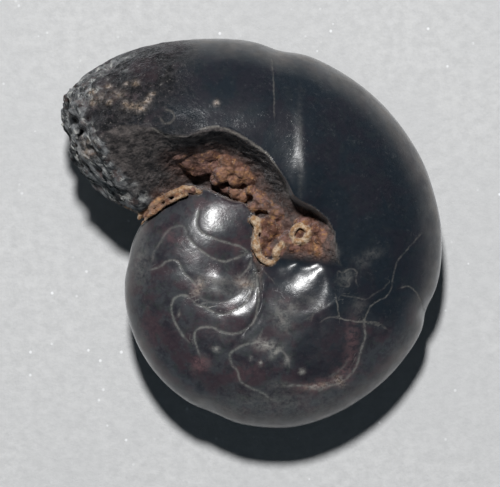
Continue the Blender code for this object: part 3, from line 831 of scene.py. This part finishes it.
def build_mould():
    """The one closed mesh, with what its material needs to know at each vertex."""
    xs = steps(((-5.1, 0.12), (-3.2, 0.11), (4.9, 0.092), (11.15, 0.23)), -11.15, 11.15)
    ys = steps(((-2.4, 0.19), (5.2, 0.092), (9.9, 0.13), (11.3, 0.16)), -11.35, 11.3)
    zs = steps(((5.2, 0.21), (10.7, 0.112)), -0.35, 10.7)
    fn = lambda p: field(p, RELIEF)
    verts, quads = surface_net(fn, xs, ys, zs)
    verts, grad = onto_surface(fn, verts)
    verts, quads = largest(verts, quads)
    grad = np.stack([(fn(verts + 0.012 * e) - fn(verts - 0.012 * e)) / 0.024 for e in np.eye(3)], 1)
    normals = grad / np.maximum(np.linalg.norm(grad, axis=1, keepdims=True), 1e-9)
    parts = field(verts, RELIEF, parts=True)
    masks = paint(parts, verts, normals)
    mesh = bpy.data.meshes.new("ammonite_mould")
    mesh.vertices.add(len(verts))
    mesh.vertices.foreach_set("co", (verts * 0.001).astype(np.float32).ravel())
    mesh.loops.add(len(quads) * 4)
    mesh.loops.foreach_set("vertex_index", quads.astype(np.int32).ravel())
    mesh.polygons.add(len(quads))
    mesh.polygons.foreach_set("loop_start", np.arange(0, len(quads) * 4, 4, dtype=np.int32))
    mesh.update(calc_edges=True)
    mesh.validate()
    mesh.shade_smooth()
    for name, values in masks.items():
        layer = mesh.attributes.new(name, "FLOAT", "POINT")
        layer.data.foreach_set("value", values.astype(np.float32))
    obj = bpy.data.objects.new("ammonite_mould", mesh)
    bpy.context.scene.collection.objects.link(obj)
    print("mould: %d vertices, %d quads" % (len(verts), len(quads)))
    return obj


def largest(verts, quads):
    """Only the biggest connected piece of the surface."""
    label = np.arange(len(verts))
    while True:
        low = label[quads].min(1)
        new = label.copy()
        np.minimum.at(new, quads.ravel(), np.repeat(low, 4))
        new = new[new]
        if (new == label).all():
            break
        label = new
    ids, counts = np.unique(label, return_counts=True)
    keep = label == ids[counts.argmax()]
    index = np.cumsum(keep) - 1
    return verts[keep], index[quads[keep[quads].all(1)]]


# ---------------------------------------------------------------------------
# Materials
# ---------------------------------------------------------------------------
class Nodes:
    """Short hand for a material's node tree."""

    def __init__(self, name):
        self.material = bpy.data.materials.new(name)
        self.material.use_nodes = True
        self.tree = self.material.node_tree
        self.tree.nodes.clear()
        self.out = self.add("ShaderNodeOutputMaterial")

    def add(self, kind, **settings):
        node = self.tree.nodes.new(kind)
        for key, value in settings.items():
            setattr(node, key, value)
        return node

    def link(self, a, b):
        self.tree.links.new(a, b)

    def put(self, socket, value):
        if isinstance(value, bpy.types.NodeSocket):
            self.link(value, socket)
        else:
            socket.default_value = value

    def math(self, op, a, b=0.0, c=0.0, clamp=False):
        node = self.add("ShaderNodeMath", operation=op, use_clamp=clamp)
        for socket, value in zip(node.inputs, (a, b, c)):
            self.put(socket, value)
        return node.outputs[0]

    def attribute(self, name):
        return self.add("ShaderNodeAttribute", attribute_name=name).outputs["Fac"]

    def ramp(self, x, lo, hi, a=0.0, b=1.0):
        node = self.add("ShaderNodeMapRange", interpolation_type="SMOOTHSTEP")
        self.put(node.inputs["Value"], x)
        for key, value in (("From Min", lo), ("From Max", hi), ("To Min", a), ("To Max", b)):
            self.put(node.inputs[key], value)
        return node.outputs[0]

    def mix(self, fac, a, b):
        node = self.add("ShaderNodeMix", data_type="RGBA")
        self.put(node.inputs[0], fac)
        self.put(node.inputs[6], a if isinstance(a, bpy.types.NodeSocket) else (*a, 1.0))
        self.put(node.inputs[7], b if isinstance(b, bpy.types.NodeSocket) else (*b, 1.0))
        return node.outputs[2]

    def blend(self, fac, a, b):
        node = self.add("ShaderNodeMix", data_type="FLOAT")
        self.put(node.inputs[0], fac)
        self.put(node.inputs[2], a)
        self.put(node.inputs[3], b)
        return node.outputs[0]

    def noise(self, scale, detail=3.0, rough=0.55, warp=0.0, vector=None):
        node = self.add("ShaderNodeTexNoise", noise_dimensions="3D")
        node.inputs["Scale"].default_value = scale
        node.inputs["Detail"].default_value = detail
        node.inputs["Roughness"].default_value = rough
        node.inputs["Distortion"].default_value = warp
        self.link(vector or self.place, node.inputs["Vector"])
        return node.outputs["Fac"]

    def voronoi(self, scale, feature="F1", vector=None, random=1.0):
        node = self.add("ShaderNodeTexVoronoi", voronoi_dimensions="3D", feature=feature)
        node.inputs["Scale"].default_value = scale
        node.inputs["Randomness"].default_value = random
        self.link(vector or self.place, node.inputs["Vector"])
        return node.outputs["Distance"]

    def coordinates(self):
        """Object coordinates in millimetres."""
        node = self.add("ShaderNodeVectorMath", operation="SCALE")
        self.link(self.add("ShaderNodeTexCoord").outputs["Object"], node.inputs[0])
        node.inputs["Scale"].default_value = 1000.0
        self.place = node.outputs[0]
        return self.place


def stone_material():
    t = Nodes("ironstone_mould")
    t.coordinates()
    A = {n: t.attribute(n) for n in (
        "matrix", "pale_rim", "trough", "by_matrix", "film", "torn", "dull", "suture_d", "suture_m", "crack_d", "crack_m", "edge_and_glint_d", "edge_and_glint_m", "far_d", "far_m", "red", "pale_marks_and_painted_light", "tan", "matte", "rim", "painted_rim_reflection", "sole")}
    M = t.math
    # the polished dark mould: blue-black, plum in places
    broad = t.noise(0.55, 3, 0.6, 0.4)
    base = t.mix(t.ramp(broad, 0.40, 0.60), (0.0125, 0.0185, 0.0260), (0.0165, 0.0175, 0.0250))
    base = t.mix(M("MULTIPLY", t.ramp(t.noise(1.7, 4, 0.65), 0.50, 0.70), 0.55), base, (0.020, 0.026, 0.030))
    # scattered small pale marks and fine scratches
    marks = M("MULTIPLY", t.ramp(t.noise(4.2, 5, 0.75), 0.52, 0.76), t.ramp(t.noise(0.8, 3, 0.6), 0.34, 0.66, 0.15, 1.0))
    base = t.mix(M("MULTIPLY", marks, 0.6), base, (0.070, 0.075, 0.080))
    base = t.mix(M("MULTIPLY", t.ramp(t.noise(3.0, 4, 0.7), 0.52, 0.34), 0.5), base, (0.008, 0.012, 0.017))
    # grey-plum patina on the ball and the lower flank
    cloud = t.ramp(t.noise(1.5, 5, 0.7, 0.3), 0.36, 0.62)
    patina = t.mix(cloud, (0.029, 0.025, 0.033), (0.055, 0.059, 0.066))
    patina = t.mix(M("MULTIPLY", t.ramp(t.noise(2.3, 4, 0.7), 0.50, 0.66), 0.5), patina, (0.040, 0.053, 0.045))
    patina = t.mix(M("MULTIPLY", t.ramp(t.noise(0.8, 3), 0.46, 0.62), 0.8), patina, (0.056, 0.035, 0.043))
    patina = t.mix(M("MULTIPLY", t.ramp(t.noise(6.0, 4, 0.7), 0.56, 0.76), 0.55), patina, (0.095, 0.092, 0.090))
    film = M("MULTIPLY", A["film"], t.ramp(t.noise(0.75, 4, 0.65), 0.26, 0.52, 0.45, 1.0), clamp=True)
    base = t.mix(M("MULTIPLY", film, 0.82), base, patina)
    # painted reflection: steep slopes lightened to a slightly brown grey, standing in for the floor's reflection at
    # grazing angles
    base = t.mix(M("MULTIPLY", A["rim"], 0.90), base, t.mix(t.ramp(t.noise(1.0, 3), 0.4, 0.6), (0.200, 0.178, 0.160), (0.160, 0.157, 0.158)))
    # painted reflection: the near-vertical band made pale, most round the lower rim
    base = t.mix(M("MULTIPLY", A["painted_rim_reflection"], t.ramp(t.noise(2.2, 4, 0.7), 0.32, 0.62, 0.15, 0.70), clamp=True), base, (0.340, 0.335, 0.325))
    # stains; among the pale marks are painted glints, highlights and rim reflections
    spread = t.ramp(t.noise(3.2, 4, 0.7), 0.34, 0.62)
    red = M("MULTIPLY", A["red"], M("ADD", M("MULTIPLY", spread, 0.8), 0.2), clamp=True)
    base = t.mix(red, base, (0.185, 0.108, 0.112))
    pale_marks_and_painted_light = M("MULTIPLY", A["pale_marks_and_painted_light"], t.ramp(t.noise(3.4, 5, 0.75), 0.32, 0.66, 0.10, 1.0), clamp=True)
    base = t.mix(pale_marks_and_painted_light, base, (0.30, 0.29, 0.27))
    # sutures and cracks
    wobble = M("MULTIPLY", M("SUBTRACT", t.noise(3.0, 3, 0.6), 0.5), 2.4)
    def line(distance, mask, half, soft, broken):
        d = M("ABSOLUTE", M("ADD", distance, wobble))
        core = t.ramp(d, half + soft, half - soft)
        gaps = t.ramp(t.noise(3.4, 3, 0.7), broken, broken + 0.22, 0.3, 1.0)
        return M("MULTIPLY", M("MULTIPLY", core, mask), gaps, clamp=True)
    suture = line(A["suture_d"], A["suture_m"], 1.0, 1.1, 0.36)
    halo = line(A["suture_d"], A["suture_m"], 2.6, 2.4, 0.30)
    crack = line(A["crack_d"], A["crack_m"], 0.7, 0.7, 0.38)
    far = line(A["far_d"], A["far_m"], 0.9, 0.7, 0.38)
    base = t.mix(M("MULTIPLY", halo, 0.14), base, (0.12, 0.12, 0.115))
    base = t.mix(M("MULTIPLY", suture, 0.66), base, t.mix(t.ramp(t.noise(1.8, 3), 0.4, 0.6), (0.215, 0.222, 0.205), (0.250, 0.240, 0.225)))
    base = t.mix(M("MULTIPLY", crack, 0.70), base, (0.22, 0.21, 0.19))
    base = t.mix(M("MULTIPLY", far, 0.5), base, (0.16, 0.155, 0.14))
    # dull, pitted surface next to the broken end
    mottle = t.noise(3.2, 5, 0.75)
    dull_col = t.mix(t.ramp(mottle, 0.40, 0.68), (0.013, 0.0135, 0.015), (0.060, 0.057, 0.059))
    dull_col = t.mix(M("MULTIPLY", t.ramp(t.noise(0.8, 3), 0.48, 0.68), 0.7), dull_col, (0.046, 0.032, 0.038))
    dull_col = t.mix(t.ramp(t.noise(5.5, 4, 0.78), 0.58, 0.72), dull_col, (0.24, 0.225, 0.215))
    dull = M("MULTIPLY", A["dull"], t.ramp(t.noise(1.9, 4, 0.7), 0.30, 0.56, 0.45, 1.0), clamp=True)
    base = t.mix(dull, base, dull_col)
    # broken floor of the trough: dark grey, browner towards the matrix
    earth = t.mix(t.ramp(t.noise(1.9, 5, 0.72), 0.36, 0.66), (0.036, 0.034, 0.035), (0.145, 0.126, 0.120))
    earth = t.mix(t.ramp(t.noise(6.0, 4, 0.75), 0.56, 0.76), earth, (0.17, 0.165, 0.155))
    rusty = t.mix(t.ramp(t.noise(2.6, 4, 0.7), 0.38, 0.64), (0.085, 0.050, 0.042), (0.215, 0.140, 0.120))
    earth = t.mix(M("MULTIPLY", A["by_matrix"], t.ramp(t.noise(1.6, 3, 0.6), 0.36, 0.60, 0.3, 1.0), clamp=True), earth, rusty)
    base = t.mix(A["trough"], base, earth)
    # the shell's pale edge line; its small ring near (167,116) is a painted glint
    edge = line(A["edge_and_glint_d"], A["edge_and_glint_m"], 1.0, 1.0, 0.36)
    base = t.mix(M("MULTIPLY", edge, 0.75), base, (0.20, 0.185, 0.165))
    # torn end: dark, with grey and whitish flakes drawn out along the break
    strand = t.add("ShaderNodeMapping", vector_type="TEXTURE")
    strand.inputs["Rotation"].default_value = (0.0, 0.0, math.radians(-42))
    strand.inputs["Scale"].default_value = (2.6, 1.0, 1.0)
    t.link(t.place, strand.inputs["Vector"])
    strand = strand.outputs[0]
    flakes = t.noise(1.7, 5, 0.72, 0.5, strand)
    torn_col = t.mix(t.ramp(flakes, 0.42, 0.60), (0.026, 0.028, 0.030), (0.230, 0.236, 0.240))
    torn_col = t.mix(t.ramp(t.noise(3.4, 4, 0.75, 0.4, strand), 0.53, 0.65), torn_col, (0.52, 0.52, 0.49))
    torn_col = t.mix(M("MULTIPLY", t.ramp(t.noise(1.4, 3, 0.6), 0.52, 0.68), 0.6), torn_col, (0.115, 0.072, 0.066))
    base = t.mix(A["torn"], base, torn_col)
    tan = M("MULTIPLY", A["tan"], t.ramp(t.noise(6.0, 4, 0.75), 0.40, 0.58, 0.15, 1.0), clamp=True)
    base = t.mix(tan, base, t.mix(t.ramp(t.noise(3.0, 2), 0.4, 0.6), (0.44, 0.33, 0.24), (0.46, 0.40, 0.36)))
    # matrix: rust, ochre and cream grains in a darker cement
    rust = t.mix(t.ramp(t.noise(1.3, 4, 0.7), 0.38, 0.62), (0.150, 0.072, 0.050), (0.320, 0.180, 0.148))
    rust = t.mix(t.ramp(t.noise(2.8, 4, 0.7), 0.50, 0.66), rust, (0.46, 0.245, 0.115))
    rust = t.mix(t.ramp(t.noise(2.2, 4, 0.7, 0.3), 0.56, 0.70), rust, (0.330, 0.185, 0.170))
    rust = t.mix(t.ramp(t.noise(4.6, 4, 0.75), 0.58, 0.74), rust, (0.62, 0.46, 0.32))
    rust = t.mix(M("MULTIPLY", t.ramp(t.noise(0.55, 2), 0.5, 0.62), 0.25), rust, (0.50, 0.27, 0.13))
    rust = t.mix(t.ramp(t.voronoi(2.9), 0.50, 0.78, 0.0, 0.60), rust, (0.060, 0.028, 0.020))
    base = t.mix(A["matrix"], base, rust)
    cream = t.mix(t.ramp(t.noise(3.6, 4, 0.7), 0.40, 0.62), (0.42, 0.24, 0.12), (0.72, 0.56, 0.40))
    base = t.mix(M("MULTIPLY", A["pale_rim"], t.ramp(t.noise(2.6, 3, 0.7), 0.30, 0.50, 0.35, 1.0)), base, cream)
    # roughness of the stone itself; the polish lies over it as a coat
    broken = M("MAXIMUM", M("MAXIMUM", A["torn"], A["trough"]), M("MAXIMUM", A["matrix"], dull))
    rough = t.blend(t.ramp(t.noise(2.4, 4, 0.65), 0.3, 0.7), 0.48, 0.60)
    rough = t.blend(A["torn"], rough, 0.60)
    rough = t.blend(M("MAXIMUM", dull, A["trough"]), rough, 0.82)
    rough = t.blend(M("MAXIMUM", A["matrix"], A["pale_rim"]), rough, 0.88)
    worn = M("MAXIMUM", M("MAXIMUM", M("MULTIPLY", pale_marks_and_painted_light, 0.8), M("MAXIMUM", suture, crack)), M("MAXIMUM", broken, A["sole"]), clamp=True)
    patch = t.ramp(t.noise(1.2, 4, 0.6), 0.30, 0.62, 1.0, 0.70)
    coat = M("MULTIPLY", M("MULTIPLY", M("SUBTRACT", 1.0, worn), patch), M("SUBTRACT", 1.0, M("MULTIPLY", A["matte"], 0.92), clamp=True))
    # bump: fine wear everywhere, coarse grain where the stone is broken
    micro = M("ADD", M("MULTIPLY", t.noise(1.6, 4, 0.6), 0.014), M("MULTIPLY", t.noise(6.5, 3, 0.6), 0.0035))
    micro = M("ADD", micro, M("MULTIPLY", marks, -0.004))
    coarse = M("ADD", M("MULTIPLY", t.noise(4.0, 5, 0.75), 0.17), M("MULTIPLY", t.voronoi(5.5), 0.06))
    coarse = t.blend(A["torn"], coarse, M("ADD", M("MULTIPLY", t.noise(2.2, 5, 0.72, 0.4, strand), 0.22), M("MULTIPLY", t.noise(7.0, 3, 0.6), 0.03)))
    height = t.blend(broken, micro, coarse)
    height = M("SUBTRACT", height, M("MULTIPLY", M("MAXIMUM", suture, crack), 0.008))
    bump = t.add("ShaderNodeBump")
    bump.inputs["Strength"].default_value = 1.0
    bump.inputs["Distance"].default_value = 0.001
    t.link(height, bump.inputs["Height"])
    shader = t.add("ShaderNodeBsdfPrincipled")
    t.link(base, shader.inputs["Base Color"])
    t.link(rough, shader.inputs["Roughness"])
    t.link(bump.outputs[0], shader.inputs["Normal"])
    t.link(bump.outputs[0], shader.inputs["Coat Normal"])
    shader.inputs["IOR"].default_value = 1.14
    shader.inputs["Sheen Weight"].default_value = 0.22
    shader.inputs["Sheen Roughness"].default_value = 0.22
    shader.inputs["Sheen Tint"].default_value = (0.92, 0.95, 1.0, 1.0)
    t.link(coat, shader.inputs["Coat Weight"])
    shader.inputs["Coat Roughness"].default_value = 0.25
    shader.inputs["Coat IOR"].default_value = 1.52
    t.link(shader.outputs[0], t.out.inputs["Surface"])
    return t.material


def floor_material():
    t = Nodes("pale_floor")
    t.coordinates()
    M = t.math
    grain = t.noise(1.6, 5, 0.7)
    wide = t.noise(0.12, 3, 0.5)
    col = t.mix(t.ramp(grain, 0.3, 0.7), (0.585, 0.588, 0.590), (0.695, 0.697, 0.698))
    col = t.mix(M("MULTIPLY", t.ramp(wide, 0.35, 0.65), 0.5), col, (0.60, 0.605, 0.61))
    # painted glints: sparse bright specks in the floor's colour stand in for the sheet's sparkle
    painted_glint = M("MULTIPLY", t.ramp(t.voronoi(1.1), 0.13, 0.05), t.ramp(t.noise(0.35, 3), 0.46, 0.60))
    col = t.mix(painted_glint, col, (0.95, 0.96, 0.97))
    bump = t.add("ShaderNodeBump")
    bump.inputs["Strength"].default_value = 0.5
    bump.inputs["Distance"].default_value = 0.001
    t.link(M("MULTIPLY", t.noise(2.0, 5, 0.7), 0.085), bump.inputs["Height"])
    shader = t.add("ShaderNodeBsdfPrincipled")
    t.link(col, shader.inputs["Base Color"])
    t.link(t.blend(grain, 0.55, 0.75), shader.inputs["Roughness"])
    t.link(bump.outputs[0], shader.inputs["Normal"])
    t.link(shader.outputs[0], t.out.inputs["Surface"])
    return t.material


# ---------------------------------------------------------------------------
# Floor, light, camera
# ---------------------------------------------------------------------------
def aim(obj, target):
    from mathutils import Vector
    obj.rotation_euler = (Vector(target) - obj.location).to_track_quat("-Z", "Y").to_euler()


def area_light(name, place, target, size, power, color=(1, 1, 1)):
    data = bpy.data.lights.new(name, "AREA")
    data.shape = "DISK"
    data.size = size
    data.energy = power
    data.color = color
    obj = bpy.data.objects.new(name, data)
    obj.location = place
    aim(obj, target)
    bpy.context.scene.collection.objects.link(obj)
    return obj


def make_floor():
    mesh = bpy.data.meshes.new("floor")
    a = 0.6
    mesh.from_pydata([(-a, -a, 0), (a, -a, 0), (a, a, 0), (-a, a, 0)], [], [(0, 1, 2, 3)])
    obj = bpy.data.objects.new("floor", mesh)
    obj.location.z = -0.00002
    obj.data.materials.append(floor_material())
    bpy.context.scene.collection.objects.link(obj)
    return obj


def make_light():
    # a small soft key, high and a little to the far side
    tilt, far = math.radians(24.0), 0.42
    area_light("key", (-0.048 * far, far * math.sin(tilt), far * math.cos(tilt)), (0, 0, 0.004), 0.042, KEY)
    # dim room: nearly black overhead, a little paler and bluish low down
    world = bpy.data.worlds.new("studio")
    world.use_nodes = True
    tree = world.node_tree
    tree.nodes.clear()
    place = tree.nodes.new("ShaderNodeTexCoord")
    split = tree.nodes.new("ShaderNodeSeparateXYZ")
    tree.links.new(place.outputs["Generated"], split.inputs[0])
    level = tree.nodes.new("ShaderNodeMapRange")
    level.interpolation_type = "SMOOTHSTEP"
    for key, value in (("From Min", 0.0), ("From Max", 0.48), ("To Min", HORIZON), ("To Max", ZENITH)):
        level.inputs[key].default_value = value
    tree.links.new(split.outputs["Z"], level.inputs["Value"])
    back = tree.nodes.new("ShaderNodeBackground")
    back.inputs["Color"].default_value = (0.66, 0.85, 1.0, 1)
    side = tree.nodes.new("ShaderNodeMapRange")
    for key, value in (("From Min", 0.2), ("From Max", -0.9), ("To Min", 0.70), ("To Max", 2.3)):
        side.inputs[key].default_value = value
    tree.links.new(split.outputs["Y"], side.inputs["Value"])
    both = tree.nodes.new("ShaderNodeMath")
    both.operation = "MULTIPLY"
    tree.links.new(level.outputs[0], both.inputs[0])
    tree.links.new(side.outputs[0], both.inputs[1])
    tree.links.new(both.outputs[0], back.inputs["Strength"])
    out = tree.nodes.new("ShaderNodeOutputWorld")
    tree.links.new(back.outputs[0], out.inputs["Surface"])
    bpy.context.scene.world = world


def make_camera():
    data = bpy.data.cameras.new("camera")
    data.sensor_width = 36.0
    data.lens = 36.0 * (EYE[2] - EYE_LEVEL) / (500 * UNIT)
    data.clip_start, data.clip_end = 0.01, 20.0
    obj = bpy.data.objects.new("camera", data)
    obj.location = EYE * 0.001
    bpy.context.scene.collection.objects.link(obj)
    bpy.context.scene.camera = obj


KEY, HORIZON, ZENITH = 1.78, 0.23, 0.014
RELIEF = Relief()
mould = build_mould()
mould.data.materials.append(stone_material())
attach(mould, "root")
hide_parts("ammonite")
make_floor()
make_light()
make_camera()
view = bpy.context.scene.view_settings
view.view_transform = "Standard"
view.look = "None"
